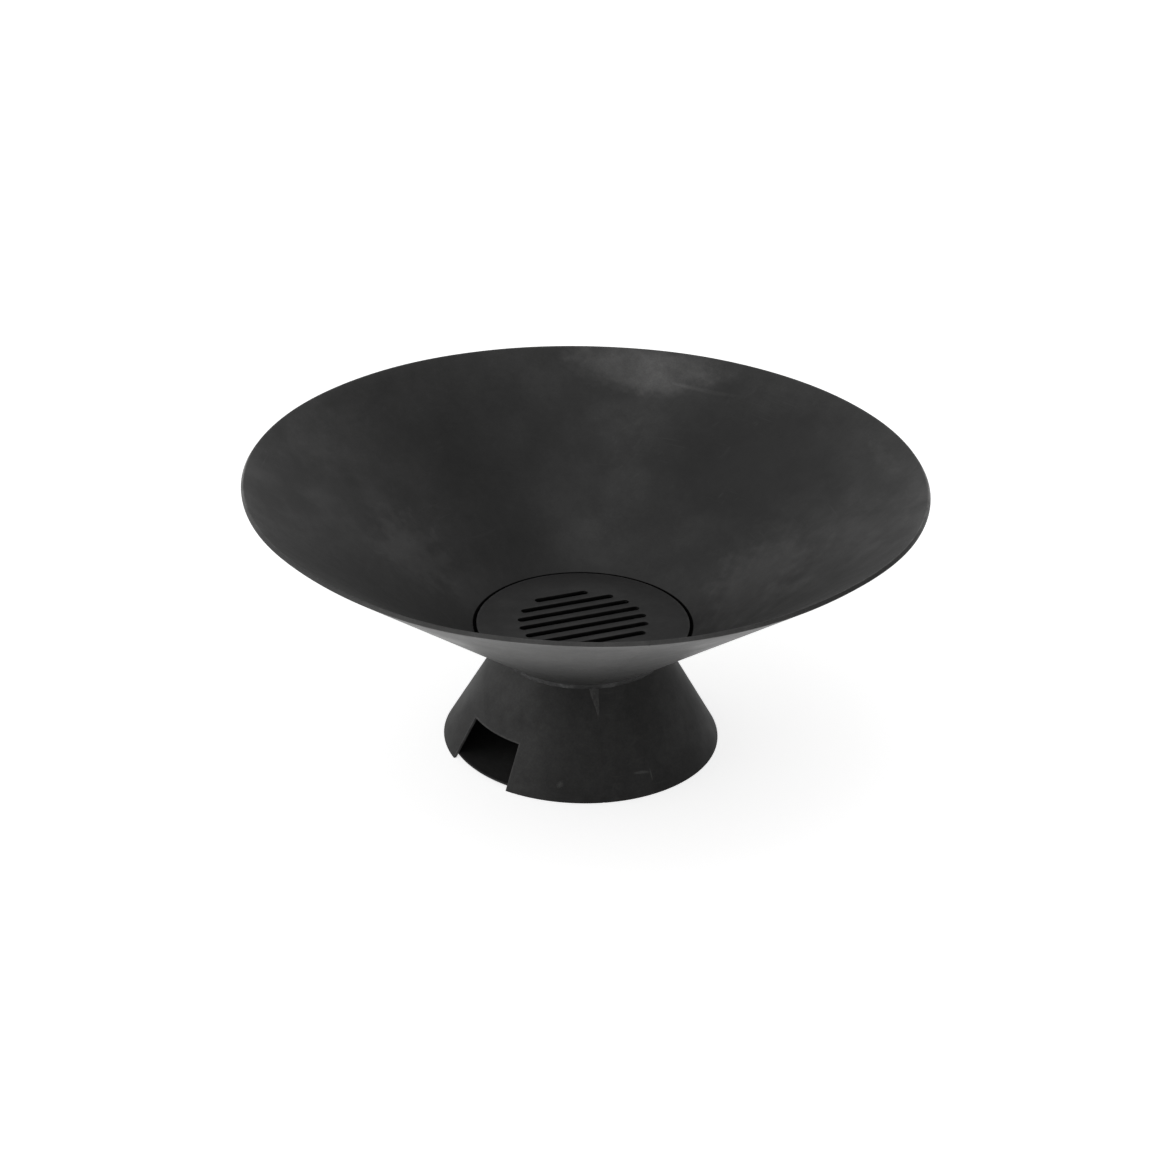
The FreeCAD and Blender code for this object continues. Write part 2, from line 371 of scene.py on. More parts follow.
def build_pedestal(material):
    """The rolled pedestal sheet with its air and ash opening."""
    wave = waves(21, 6, first=2)
    strip = 1.0              # degrees of the narrow strips beside the seam
    left = 360.0 - OPENING_HALF_ANGLE
    right = 360.0 + OPENING_HALF_ANGLE
    opening = list(np.linspace(left, right, 29))
    before = list(np.linspace(SEAM_AZIMUTH + strip, left, 144, endpoint=False))
    after = list(np.linspace(right, SEAM_AZIMUTH + 360.0 - strip, 36))[1:]
    azimuths = [SEAM_AZIMUTH] + before + opening + after + [SEAM_AZIMUTH + 360.0]
    low = list(np.linspace(0.0, OPENING_TOP, 13))
    high = list(np.linspace(OPENING_TOP, WAIST_HEIGHT, 18))[1:]
    stations = low + high

    def place(shift):
        def point(azimuth, height):
            radius = FOOT_RADIUS - shift - height / math.tan(PEDESTAL_SLOPE)
            edge = math.degrees(math.asin(SEAM_HALF_GAP / radius))
            if azimuth in (SEAM_AZIMUTH, SEAM_AZIMUTH + 360.0):
                azimuth += edge if azimuth == SEAM_AZIMUTH else -edge
            bent = FOOT_WAVE * wave(azimuth) * (1.0 - height / WAIST_HEIGHT)
            return polar(radius + bent - FOOT_TRIM, azimuth, height)

        return point

    def present(i, j):
        middle = (azimuths[i] + azimuths[i + 1]) / 2
        cut = left < middle < right
        return not (cut and stations[j] < OPENING_TOP - 1e-6)

    made = sheet_patch(azimuths, stations, place(0.0), place(PEDESTAL_WALL), present)
    piece = finished(
        "pedestal_sheet", made, "pedestal_cone", "hearth", material
    )
    bevel = piece.modifiers.new("broken_edges", "BEVEL")
    bevel.width = 0.8 * EDGE_ROUND
    bevel.segments = 3
    bevel.limit_method = "ANGLE"
    bevel.angle_limit = math.radians(40.0)
    return piece


def plate(outlines, low, high, edge):
    """bmesh of a flat plate with rounded edges.

    Each outline is a function of an inset that gives a closed loop of (x, y); the first
    one is the plate's own edge and the others are holes.
    """
    made = bmesh.new()
    steps = 3
    levels = []
    for step in range(steps + 1):
        turn = math.pi / 2 * step / steps
        levels.append((edge * (1 - math.sin(turn)), high - edge * (1 - math.cos(turn))))
    levels += [(inset, low + high - height) for inset, height in reversed(levels)]
    top, bottom = [], []
    for outline in outlines:
        rings = []
        for inset, height in levels:
            rings.append([made.verts.new((x, y, height)) for x, y in outline(inset)])
        for one, other in zip(rings[:-1], rings[1:]):
            join_loops(made, one, other)
        for ring, edges in ((rings[0], top), (rings[-1], bottom)):
            for index in range(len(ring)):
                edges.append(made.edges.get((ring[index], ring[(index + 1) % len(ring)])))
    for edges in (top, bottom):
        bmesh.ops.triangle_fill(made, use_beauty=True, use_dissolve=False, edges=edges)
    return made


def circle_outline(radius, count):
    """Outline of a disc."""
    def outline(inset):
        reach = radius - inset
        angles = [2 * math.pi * index / count for index in range(count)]
        return [(reach * math.cos(angle), reach * math.sin(angle)) for angle in angles]
    return outline


def slot_outline(offset, length, width, turn):
    """Outline of a round-ended slot, offset sideways from the middle."""
    def outline(inset):
        radius = width / 2 + inset
        half = (length - width) / 2
        points = []
        for end in (1, -1):
            for step in range(13):
                angle = math.pi * (step / 12 - 0.5)
                x = end * (half + radius * math.cos(angle))
                points.append((x, offset + end * radius * math.sin(angle)))
            for step in range(1, 6):
                points.append((end * half * (1 - step / 3), offset + end * radius))
        cosine, sine = math.cos(turn), math.sin(turn)
        return [(x * cosine - y * sine, x * sine + y * cosine) for x, y in points]
    return outline


def build_grate(material):
    """The loose slotted plate."""
    outlines = [circle_outline(GRATE_RADIUS, 180)]
    for index in range(SLOT_COUNT):
        offset = (index - (SLOT_COUNT - 1) / 2) * SLOT_PITCH
        length = 2 * math.sqrt(SLOT_FIELD_RADIUS ** 2 - offset ** 2)
        turn = math.radians(SLOT_DIRECTION)
        outlines.append(slot_outline(offset, length, SLOT_WIDTH, turn))
    made = plate(outlines, GRATE_LOW.z, GRATE_HIGH.z, EDGE_ROUND)
    return finished("grate_disc", made, "grate_plate", "grate", material)


def build_floor_plate(material):
    """The ash floor inside the pedestal's foot."""
    made = plate([circle_outline(FLOOR_RADIUS, 180)], FLOOR_LOW.z, FLOOR_HIGH.z, EDGE_ROUND)
    return finished("ash_floor", made, "floor_plate", "hearth", material)


# ---- welds ---------------------------------------------------------------------------
def ripple(along, across):
    """Height of the weld ripples, 0 to 1: crescents that bow back along the bead."""
    phase = along / RIPPLE_PITCH + 0.55 * across * across
    share = phase - math.floor(phase)
    return (1.0 - share) ** 1.5 * min(share * 6.0, 1.0)


def build_waist_weld(material):
    """Fillet bead in the valley between bowl and pedestal."""
    up = Vector((math.cos(BOWL_SLOPE), math.sin(BOWL_SLOPE)))
    down = Vector((math.cos(PEDESTAL_SLOPE), -math.sin(PEDESTAL_SLOPE)))
    outward = (up + down).normalized()
    corner = Vector((WAIST_RADIUS, WAIST_HEIGHT))
    width = waves(31, 24, first=3)
    toe_up = waves(32, 40, first=20)
    toe_down = waves(33, 40, first=20)
    lump = waves(34, 12, first=5)
    count, across_count = 2160, 10
    rows = []
    for step in range(count):
        azimuth = 360.0 * step / count
        along = math.radians(azimuth) * (WAIST_RADIUS + WELD_LEG / 2)
        swell = 0.0
        for place, reach in BEAD_STARTS:
            swell += math.exp(-((turn_from(place, azimuth) / reach) ** 2) * 4.0)
        # the bead wavers in width, and is wider where it was started
        leg = WELD_LEG * (0.98 + 0.05 * width(azimuth) + 0.12 * swell)
        upper = corner + up * (leg + 0.00014 * toe_up(azimuth))
        lower = corner + down * (leg + 0.00014 * toe_down(azimuth))
        row = [polar(corner.x, azimuth, corner.y)]
        for index in range(across_count + 1):
            share = index / across_count
            belly = math.sin(math.pi * share)
            bulge = 0.0003 + 0.00012 * lump(azimuth) + 0.0005 * swell
            bulge += RIPPLE_DEPTH * ripple(along, 2 * share - 1)
            point = upper.lerp(lower, share) + outward * bulge * belly
            row.append(polar(point.x, azimuth, point.y))
        rows.append(row)
    made = add_tube(bmesh.new(), rows, closed=True)
    return finished(
        "waist_bead", made, "waist_weld", "hearth", material, sharp=60.0
    )


def build_floor_tacks(material):
    """Short lumpy tack welds in the corner under the floor plate."""
    wall = FOOT_RADIUS - PEDESTAL_WALL - FLOOR_LOW.z / math.tan(PEDESTAL_SLOPE)
    corner = Vector((wall, FLOOR_LOW.z))
    inward = Vector((-TACK_LEG, 0.0))
    down = Vector((TACK_DROP / math.tan(PEDESTAL_SLOPE), -TACK_DROP))
    made = bmesh.new()
    random = np.random.default_rng(47)
    count, across_count = 26, 8
    for tack in range(TACK_COUNT):
        middle = (tack + 0.5) * 360.0 / TACK_COUNT
        bumps = waves(int(random.integers(1000)), 30, first=12)
        rows = []
        for step in range(count + 1):
            share = step / count
            # a little shorter than the space it has, and blunt at both ends
            azimuth = middle + (share - 0.5) * 0.94 * TACK_ANGLE
            size = math.sin(math.pi * (0.06 + 0.88 * share)) ** 0.4
            size *= 0.93 + 0.05 * bumps(azimuth)
            along = math.radians(azimuth) * corner.x
            row = [corner]
            for index in range(across_count + 1):
                turn = math.pi / 2 * index / across_count
                swell = size * (1.0 - 0.08 * math.sin(2 * turn) * (1 - ripple(along, 0.0)))
                row.append(corner + (inward * math.cos(turn) + down * math.sin(turn)) * swell)
            rows.append([polar(point.x, azimuth, point.y) for point in row])
        add_tube(made, rows)
    return finished(
        "floor_tacks", made, "floor_tack_welds", "hearth", material, sharp=60.0
    )


def seam_rows(stations, face, depth, foot, cap):
    """Rows of a butt weld that fills a seam, with a raised cap on one face.

    face(station) gives (radius, height) on the capped face, depth is the vector from
    there to the far face, which ends at the height foot, and cap(station) gives
    (offset, half width, height).
    """
    across = direction(SEAM_AZIMUTH + 90.0)
    count = 10
    rise = -depth.normalized()
    rows = []
    for station in stations:
        near = face(station)
        far = near + depth * min((near.y - foot) / -depth.y, 1.0)
        offset, half, height = cap(station)
        row = []
        for side, place in ((-1, far), (1, far), (1, near)):
            row.append(polar(place.x, SEAM_AZIMUTH, place.y) + across * side * SEAM_HALF_GAP)
        low = min(offset - half, -1.1 * SEAM_HALF_GAP)
        high = max(offset + half, 1.1 * SEAM_HALF_GAP)
        for index in range(count + 1):
            share = index / count
            sideways = high + (low - high) * share
            bent = math.sqrt(near.x ** 2 - sideways ** 2) - near.x
            belly = max(0.0, 1.0 - ((sideways - offset) / half) ** 2)
            body = height * belly
            if height > DRESSED_CAP[1]:
                along = (near - face(stations[0])).length
                body += 0.8 * RIPPLE_DEPTH * ripple(along, 2 * share - 1) * belly
            point = near + rise * body
            row.append(polar(point.x + bent, SEAM_AZIMUTH, point.y) + across * sideways)
        row.append(polar(near.x, SEAM_AZIMUTH, near.y) - across * SEAM_HALF_GAP)
        rows.append(row)
    return rows


def build_pedestal_seam(material):
    """Butt weld of the pedestal: dressed flush, with a raised wedge left at the top."""
    slope = Vector((-math.cos(PEDESTAL_SLOPE), math.sin(PEDESTAL_SLOPE)))
    inward = Vector((-math.sin(PEDESTAL_SLOPE), -math.cos(PEDESTAL_SLOPE)))
    foot = Vector((FOOT_RADIUS - FOOT_TRIM, 0.0))
    length = WAIST_HEIGHT / math.sin(PEDESTAL_SLOPE)
    wedge_end = length - WEDGE_LENGTH

    def face(station):
        return foot + slope * station

    def cap(station):
        if station < wedge_end:
            return 0.0, *DRESSED_CAP
        grown = smooth_step(wedge_end, length - 0.004, station)
        share = (station - wedge_end) / WEDGE_LENGTH
        return -0.003 * grown, 0.001 + 0.0052 * share, 0.0002 + 0.0013 * share

    stations = list(np.linspace(0.0005, wedge_end - 0.001, 40))
    stations += list(np.linspace(wedge_end, length - 0.0015, 80))
    rows = seam_rows(stations, face, inward * PEDESTAL_SHEET, 0.0, cap)
    made = add_tube(bmesh.new(), rows)
    return finished(
        "pedestal_seam_bead", made, "pedestal_seam_weld", "hearth",
        material, sharp=60.0,
    )


def build_bowl_seam(material):
    """Butt weld of the bowl: flush outside, a low rippled bead inside above the grate."""
    slope = Vector((math.cos(BOWL_SLOPE), math.sin(BOWL_SLOPE)))
    outward = Vector((math.sin(BOWL_SLOPE), -math.cos(BOWL_SLOPE)))
    neck = Vector((WAIST_RADIUS - BOWL_WALL, WAIST_HEIGHT))
    length = (RIM_RADIUS - BOWL_SHEET * math.sin(BOWL_SLOPE) - neck.x) / math.cos(BOWL_SLOPE)
    bead_start = (BOWL_BEAD_HEIGHT - WAIST_HEIGHT) / math.sin(BOWL_SLOPE)
    bead_end = length - BOWL_BEAD_STOP
    wave = bowl_wave()

    def face(station):
        point = neck + slope * station
        inwards = Vector((-drawn_in(point.x), 0.0))
        return point - outward * wave(SEAM_AZIMUTH, point.x) + inwards

    def cap(station):
        grown = smooth_step(bead_start - 0.003, bead_start + 0.006, station)
        grown *= 1.0 - smooth_step(bead_end - 0.006, bead_end + 0.003, station)
        if grown == 0.0:
            return 0.0, *DRESSED_CAP
        return 0.0, 0.001 + 0.0025 * grown, 0.0001 + 0.0009 * grown

    stations = list(np.linspace(0.0007, bead_start - 0.004, 30))
    stations += list(np.linspace(bead_start - 0.003, length - 0.0007, 760))
    rows = seam_rows(stations, face, outward * BOWL_SHEET, WAIST_HEIGHT, cap)
    made = add_tube(bmesh.new(), rows)
    return finished(
        "bowl_seam_bead", made, "bowl_seam_weld", "hearth",
        material, sharp=60.0,
    )


# ---- materials -----------------------------------------------------------------------
class NodeTree:
    """A node tree under construction."""

    def __init__(self, tree):
        self.tree = tree

    def add(self, kind, **settings):
        made = self.tree.nodes.new(kind)
        for key, value in settings.items():
            setattr(made, key, value)
        return made

    def link(self, source, target):
        self.tree.links.new(source, target)

    def feed(self, socket, value):
        """Sets a socket to a value, or links it to another socket."""
        if isinstance(value, bpy.types.NodeSocket):
            self.link(value, socket)
        else:
            socket.default_value = value

    def math(self, operation, one, two=0.0, clamp=False):
        made = self.add("ShaderNodeMath", operation=operation, use_clamp=clamp)
        self.feed(made.inputs[0], one)
        self.feed(made.inputs[1], two)
        return made.outputs[0]

    def vector(self, x, y, z):
        made = self.add("ShaderNodeCombineXYZ")
        for socket, value in zip(made.inputs, (x, y, z)):
            self.feed(socket, value)
        return made.outputs[0]

    def scaled(self, vector, x, y, z):
        made = self.add("ShaderNodeVectorMath", operation="MULTIPLY")
        self.feed(made.inputs[0], vector)
        made.inputs[1].default_value = (x, y, z)
        return made.outputs[0]

    def noise(self, vector, scale, detail=3.0, roughness=0.55, distortion=0.0):
        made = self.add("ShaderNodeTexNoise")
        self.feed(made.inputs["Vector"], vector)
        made.inputs["Scale"].default_value = scale
        made.inputs["Detail"].default_value = detail
        made.inputs["Roughness"].default_value = roughness
        made.inputs["Distortion"].default_value = distortion
        return made.outputs["Fac"]

    def spread(self, value, low, high, to_low=0.0, to_high=1.0):
        """Value mapped smoothly from low..high to to_low..to_high, clamped."""
        made = self.add("ShaderNodeMapRange", interpolation_type="SMOOTHSTEP")
        self.feed(made.inputs["Value"], value)
        numbers = {"From Min": low, "From Max": high, "To Min": to_low, "To Max": to_high}
        for key, number in numbers.items():
            made.inputs[key].default_value = number
        return made.outputs["Result"]

    def blend(self, share, one, two):
        """Mix of two values."""
        made = self.add("ShaderNodeMix", data_type="FLOAT")
        self.feed(made.inputs[0], share)
        self.feed(made.inputs[2], one)
        self.feed(made.inputs[3], two)
        return made.outputs[0]


class Recipe(NodeTree):
    """A node material under construction."""

    def __init__(self, name, roughness, metallic, specular):
        self.material = bpy.data.materials.new(name)
        self.material.use_nodes = True
        super().__init__(self.material.node_tree)
        self.shader = self.tree.nodes["Principled BSDF"]
        self.shader.inputs["Metallic"].default_value = metallic
        self.shader.inputs["Roughness"].default_value = roughness
        self.shader.inputs["Specular IOR Level"].default_value = specular
        self.place = self.add("ShaderNodeTexCoord").outputs["Object"]
        split = self.add("ShaderNodeSeparateXYZ")
        self.link(self.place, split.inputs[0])
        self.x, self.y, self.z = split.outputs
        squares = self.math("ADD", self.math("MULTIPLY", self.x, self.x),
                            self.math("MULTIPLY", self.y, self.y))
        self.radius = self.math("SQRT", squares)

    def facing_up(self):
        """How far the surface faces up, -1 to 1."""
        normal = self.add("ShaderNodeNewGeometry").outputs["True Normal"]
        split = self.add("ShaderNodeSeparateXYZ")
        self.link(normal, split.inputs[0])
        return split.outputs[2]

    def mark(self, azimuth, radius, lean, around, outwards, ragged=0.5):
        """Soft blot seen from above, 1 in its middle: an ellipse with a ragged edge."""
        placed = self.add("ShaderNodeMapping", vector_type="TEXTURE")
        self.link(self.place, placed.inputs["Vector"])
        placed.inputs["Location"].default_value = polar(radius, azimuth, 0.0)
        placed.inputs["Rotation"].default_value = (0.0, 0.0, math.radians(azimuth + lean))
        placed.inputs["Scale"].default_value = (around, outwards, FAR)
        away = self.add("ShaderNodeVectorMath", operation="LENGTH")
        self.link(placed.outputs[0], away.inputs[0])
        rough = self.noise(self.place, MARK_GRAIN / math.sqrt(around * outwards), 3.0, 0.6)
        rough = self.math("MULTIPLY", self.math("SUBTRACT", rough, 0.5), 2.0 * ragged)
        return self.spread(self.math("ADD", away.outputs["Value"], rough), *MARK_EDGE)

    def marked(self, marks):
        """Product of marks, each (azimuth, radius, lean, around, outwards, ragged, change)."""
        tone = 1.0
        for *place, change in marks.values():
            tone = self.math("MULTIPLY", tone, self.blend(self.mark(*place), 1.0, change))
        return tone

    def round_the_axis(self, around, outwards):
        """Coordinates stretched round the axis: how fast noise changes each way."""
        x = self.math("DIVIDE", self.x, self.radius)
        y = self.math("DIVIDE", self.y, self.radius)
        x = self.math("MULTIPLY", x, around)
        y = self.math("MULTIPLY", y, around)
        return self.vector(x, y, self.math("MULTIPLY", self.radius, outwards))

    def bump(self, height, distance, strength=1.0, normal=None):
        made = self.add("ShaderNodeBump")
        made.inputs["Strength"].default_value = strength
        made.inputs["Distance"].default_value = distance
        self.link(height, made.inputs["Height"])
        if normal is not None:
            self.link(normal, made.inputs["Normal"])
        return made.outputs["Normal"]


def mill_scale(
    name, level, roughness, shade=None, rub_and_highlight=None, soot_and_shade=None, scuffs=1.0, specular=0.5
):
    """Dark hot-rolled steel: cloudy mill scale, fine grain and handling scuffs.

    level is the colour of the sheet and scuffs how strong its handling scuffs are. The
    next three are functions of the recipe: shade multiplies the level from place to place, with
    marks, painted light and painted shade; rub is how far the scale is worn away, and on the
    grate a painted highlight; and soot is how thickly it is sooted over and painted with shade,
    0 to 1.
    """
    made = Recipe(name, roughness, 0.0, specular)
    clouds = made.noise(made.place, 4.0, 2.0, 0.45)
    patches = made.noise(made.place, 15.0, 6.0, 0.62)
    smudges = made.noise(made.place, 90.0, 5.0, 0.65)
    pores = made.noise(made.place, 420.0, 4.0, 0.7)
    grain = made.noise(made.place, 1300.0, 2.0, 0.6)

    tone = made.spread(clouds, 0.3, 0.7, 0.9, 1.1)
    tone = made.math("MULTIPLY", tone, made.spread(patches, 0.3, 0.72, 0.82, 1.2))
    tone = made.math("MULTIPLY", tone, made.spread(smudges, 0.3, 0.72, 0.9, 1.12))
    tone = made.math("MULTIPLY", tone, made.spread(pores, 0.3, 0.75, 0.88, 1.14))
    if shade is not None:
        tone = made.math("MULTIPLY", tone, shade(made))
    tone = made.math("MULTIPLY", tone, level)

    streaks = made.noise(made.round_the_axis(5.0, 700.0), 1.0, 2.0, 0.5)
    where = made.noise(made.place, 9.0, 2.0, 0.5)
    wear_and_highlight = made.math(
        "MULTIPLY", made.spread(streaks, 0.6, 0.76), made.spread(where, 0.5, 0.68)
    )
    strokes = made.noise(made.scaled(made.place, 60.0, 14.0, 30.0), 1.0, 3.0, 0.5, 1.2)
    wear_and_highlight = made.math(
        "MAXIMUM", wear_and_highlight,
        made.math("MULTIPLY", made.spread(strokes, 0.62, 0.78), made.spread(where, 0.46, 0.6)),
    )
    wear_and_highlight = made.math("MULTIPLY", wear_and_highlight, 0.16 * scuffs)
    if rub_and_highlight is not None:
        # on the grate this also adds a painted highlight along its edges
        wear_and_highlight = made.math("ADD", wear_and_highlight, rub_and_highlight(made), clamp=True)
    tone = made.blend(wear_and_highlight, tone, level * 5.0)
    if soot_and_shade is not None:
        covered = soot_and_shade(made)
        tone = made.blend(covered, tone, SOOT_AND_SHADE_LEVEL)
        # a black base with metallic on is what takes the gloss off the sooted steel and the
        # painted shade in the grate's gap
        made.link(covered, made.shader.inputs["Metallic"])
    colour = made.vector(made.math("MULTIPLY", tone, 1.01), tone,
                         made.math("MULTIPLY", tone, 0.985))
    made.link(colour, made.shader.inputs["Base Color"])

    rough = made.spread(patches, 0.35, 0.7, roughness + 0.05, roughness - 0.05)
    rough = made.math("ADD", rough, made.spread(grain, 0.3, 0.7, -0.03, 0.03))
    rough = made.math("SUBTRACT", rough, made.math("MULTIPLY", wear_and_highlight, 0.2))
    if soot_and_shade is not None:
        rough = made.blend(covered, rough, 1.0)
    made.link(rough, made.shader.inputs["Roughness"])

    rolled = made.noise(made.place, 12.0, 2.0, 0.4)
    height = made.math("MULTIPLY", grain, 0.2)
    height = made.math("ADD", height, made.math("MULTIPLY", pores, 0.5))
    normal = made.bump(height, 0.00012, 0.4)
    normal = made.bump(rolled, 0.0012, 0.3, normal)
    made.link(normal, made.shader.inputs["Normal"])
    return made.material


def bowl_shade(made):
    """Inside: marks of fire and handling, painted light and painted shade, and lighter towards
    the rim.
    Outside: painted light towards the rim and painted shade at the waist; painted light on the
    front lip.
    """
    outside = made.spread(made.facing_up(), 0.1, -0.1)
    # painted light and shade outside: up to three times lighter towards the rim, darker down at
    # the waist where shade falls under the bowl
    outside_light_and_shade = made.spread(made.z, WAIST_HEIGHT, 0.31, 0.7, 3.0)
    outside_light_and_shade = made.math("MULTIPLY", outside_light_and_shade, made.marked(OUTSIDE_MARKS))
    near_rim = made.spread(made.radius, 0.29, 0.38, 1.0, 1.35)
    inside = made.math("MULTIPLY", made.marked(BOWL_MARKS), near_rim)
    on_cut = made.spread(made.radius, CUT_FACE_RADIUS, CUT_FACE_RADIUS + 0.0006)
    # painted light: the rim's cut face is 2.8 times lighter at the front, 0.8 elsewhere
    cut_tone = made.blend(made.mark(*PAINTED_LIGHT_FRONT_LIP), 0.8, 2.8)
    return made.blend(outside, made.blend(on_cut, inside, cut_tone), outside_light_and_shade)


def rim_rub(made):
    """Scale worn off along the inner edge of the rim's cut face, broken up."""
    away = made.math("ABSOLUTE", made.math("SUBTRACT", made.radius, CUT_FACE_RADIUS))
    near = made.math("MULTIPLY", made.spread(away, 0.0014, 0.0004),
                     made.spread(made.facing_up(), 0.0, 0.2))
    broken = made.noise(made.place, 60.0, 3.0, 0.6)
    return made.math("MULTIPLY", near, made.spread(broken, 0.35, 0.65, 0.15, 0.5))


def seat_soot_and_shade(made):
    """Soot on the bowl below the top of the grate, where the fire's fines collect, and painted
    shade in the gap round the grate.
    """
    inside = made.spread(made.facing_up(), -0.1, 0.1)
    low = made.spread(made.z, GRATE_HIGH.z - 0.0008, GRATE_HIGH.z - 0.0015)
    thick = made.spread(made.z, WAIST_HEIGHT + 0.010, GRATE_LOW.z, 0.35, 1.0)
    patchy = made.spread(made.noise(made.place, 35.0, 4.0, 0.6), 0.3, 0.7, 0.7, 1.0)
    patchy = made.math("MAXIMUM", patchy, made.spread(made.z, GRATE_LOW.z - 0.004, GRATE_LOW.z))
    covered = made.math("MULTIPLY", made.math("MULTIPLY", inside, low), thick)
    return made.math("MULTIPLY", covered, patchy)


def pedestal_shade(made):
    """Scuffs near the foot, painted light on the left side and painted shade on the right."""
    return made.marked(PEDESTAL_MARKS)


def opening_rub(made):
    """Scale worn off round the edge of the opening, where rake and ash go in and out."""
    azimuth = made.math("ARCTAN2", made.x, made.math("MULTIPLY", made.y, -1.0))
    from_side = made.math("SUBTRACT", made.math("ABSOLUTE", azimuth),
                          math.radians(OPENING_HALF_ANGLE))
    from_side = made.math("MULTIPLY", from_side, made.radius)
    from_top = made.math("SUBTRACT", made.z, OPENING_TOP)
    away = made.math("MAXIMUM", from_side, from_top)
    broken = made.spread(made.noise(made.place, 150.0, 3.0, 0.6), 0.35, 0.6, 0.3, 1.0)
    return made.math("MULTIPLY", made.spread(away, 0.0026, 0.0010, 0.0, 0.34), broken)


def grate_painted_shade(made):
    """Painted shade: the grate's sides, slot walls and underside darker than its top, and its
    right side darker.
    """
    shaded_sides = made.spread(made.facing_up(), 0.3, 0.8, 0.3, 1.0)
    return made.math("MULTIPLY", shaded_sides, made.marked(GRATE_MARKS))


def grate_wear_and_edge_highlight(made):
    """Lighter steel just inside the grate's edge and beside its slots: partly wear, partly a
    painted highlight along the edges.
    """
    turn = math.radians(SLOT_DIRECTION)
    across = made.math("ADD", made.math("MULTIPLY", made.x, -math.sin(turn)),
                       made.math("MULTIPLY", made.y, math.cos(turn)))
    # in pitches from the middle of a bar: whole pitches are added to keep it above zero
    pitches = made.math("ADD", made.math("DIVIDE", across, SLOT_PITCH), 100.0)
    from_bar = made.math("PINGPONG", pitches, 0.5)
    slot_edge = 0.5 - 0.5 * SLOT_WIDTH / SLOT_PITCH
    slot_side = made.spread(from_bar, slot_edge - 0.11, slot_edge)
    field = made.spread(made.radius, SLOT_FIELD_RADIUS + 0.004, SLOT_FIELD_RADIUS - 0.004)
    rim = made.spread(made.radius, GRATE_RADIUS - 0.0035, GRATE_RADIUS - 0.001)
    broken = made.spread(made.noise(made.place, 90.0, 3.0, 0.6), 0.35, 0.65, 0.2, 1.0)
    wear_and_highlight = made.math("MAXIMUM", made.math("MULTIPLY", slot_side, field),
                     made.math("MULTIPLY", rim, 1.8))
    return made.math("MULTIPLY", made.math("MULTIPLY", wear_and_highlight, broken), 0.14)


def wedge_rub(made):
    """The raised wedge at the top of the pedestal's seam, brighter than the sheet."""
    high = made.spread(made.z, *WEDGE_BRIGHT)
    spots = made.noise(made.place, 320.0, 4.0, 0.6)
    return made.math("MULTIPLY", high, made.spread(spots, 0.3, 0.7, 0.08, 0.3))


def inner_bead_rub(made):
    """The bowl's seam: brighter where a bead stands up inside."""
    high = made.spread(made.z, BOWL_BEAD_HEIGHT - 0.003, BOWL_BEAD_HEIGHT + 0.007)
    inside = made.spread(made.facing_up(), 0.0, 0.3)
    spots = made.spread(made.noise(made.place, 320.0, 4.0, 0.6), 0.3, 0.7, 0.1, 0.35)
    return made.math("MULTIPLY", made.math("MULTIPLY", high, inside), spots)


def weld_metal():
    """Weld beads, blackened like the sheet, brighter where a bead was started and with a
    painted highlight on the left.
    """
    made = Recipe("weld_metal", 0.62, 0.0, 0.25)
    spots = made.noise(made.place, 320.0, 4.0, 0.6)
    shade = made.spread(spots, 0.3, 0.7, 0.010, 0.026)
    shade = made.math("MULTIPLY", shade, made.marked(BEAD_MARKS))
    for azimuth, reach in BEAD_STARTS:
        size = 1.2 * math.radians(reach) * WAIST_RADIUS
        start = made.mark(azimuth, WAIST_RADIUS + 0.003, 0.0, size, 0.01, 0.3)
        shade = made.math("MULTIPLY", shade, made.blend(start, 1.0, 2.2))
    made.link(made.vector(shade, shade, shade), made.shader.inputs["Base Color"])
    made.link(made.spread(spots, 0.3, 0.7, 0.55, 0.7), made.shader.inputs["Roughness"])
    made.link(made.bump(spots, 0.0001, 0.6), made.shader.inputs["Normal"])
    return made.material


# ---- light and camera ----------------------------------------------------------------
FLOOR_GLOW = 0.74
SKY_LIGHT = 0.15
WALL_LIGHT = 1.0
# soft panels round the studio: turn from the camera and elevation of the middle, inner and
# outer reach, all in degrees, then the light they add
SKY_PANELS = {
    "overhead": (-40.0, 83.0, 5.0, 20.0, 0.75),
    "canopy": (0.0, 88.0, 20.0, 50.0, 0.22),
    "backdrop": (180.0, 14.0, 25.0, 60.0, 0.36),
    "left": (-90.0, 12.0, 15.0, 55.0, 0.90),
    "front": (0.0, 45.0, 20.0, 50.0, 0.20),
    "back_right": (138.0, 28.0, 8.0, 34.0, 0.18),
    "back_left": (-162.0, 8.0, 5.0, 24.0, 0.20),
}


def studio_floor():
    """Plain pale floor, a long way past the object."""
    mesh_data = bmesh.new()
    bmesh.ops.create_circle(mesh_data, cap_ends=True, segments=96, radius=60.0)
    mesh = bpy.data.meshes.new("studio_floor")
    mesh_data.to_mesh(mesh)
    mesh_data.free()
    floor = bpy.data.objects.new("studio_floor", mesh)
    bpy.context.scene.collection.objects.link(floor)
    material = bpy.data.materials.new("studio_floor")
    material.use_nodes = True
    shader = material.node_tree.nodes["Principled BSDF"]
    shader.inputs["Base Color"].default_value = (0.86, 0.86, 0.86, 1.0)
    shader.inputs["Roughness"].default_value = 0.9
    shader.inputs["Specular IOR Level"].default_value = 0.1
    shader.inputs["Emission Color"].default_value = (1.0, 1.0, 1.0, 1.0)
    shader.inputs["Emission Strength"].default_value = FLOOR_GLOW
    mesh.materials.append(material)


